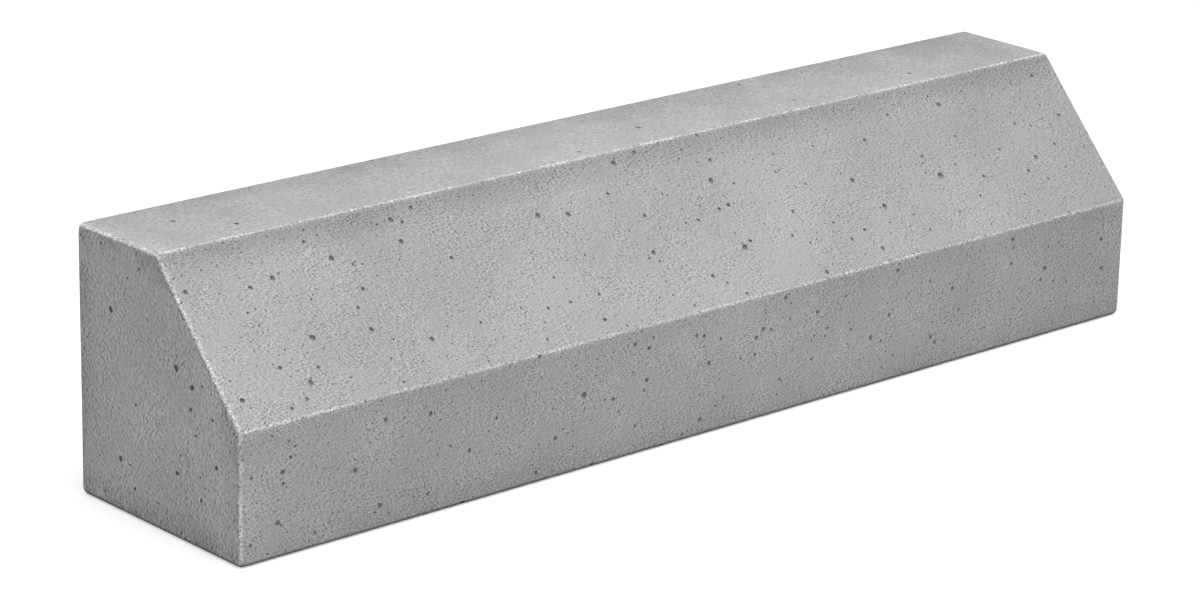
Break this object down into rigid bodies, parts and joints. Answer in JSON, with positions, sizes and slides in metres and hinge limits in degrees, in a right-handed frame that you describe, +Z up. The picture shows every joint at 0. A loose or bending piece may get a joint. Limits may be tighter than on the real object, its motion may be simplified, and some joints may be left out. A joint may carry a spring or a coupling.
{
  "type": "concrete kerb stone",
  "caption": "Precast concrete kerb stone with a flat top, a battered upper face, a plumb lower face and small rounded arrises.",
  "frame": {"origin": "middle of the underside, on the surface that the kerb is bedded on", "axes": "+X along the kerb, +Y towards the plain back face, -Y towards the battered front face, +Z up"},
  "size_m": [1, 0.21, 0.225],
  "materials": {
    "concrete": "fair-faced grey precast concrete, matt and finely sandy, with small blow holes and paler arrises"
  },
  "bodies": {
    "root": {"kerb_stone": "concrete"}
  },
  "joints": []
}
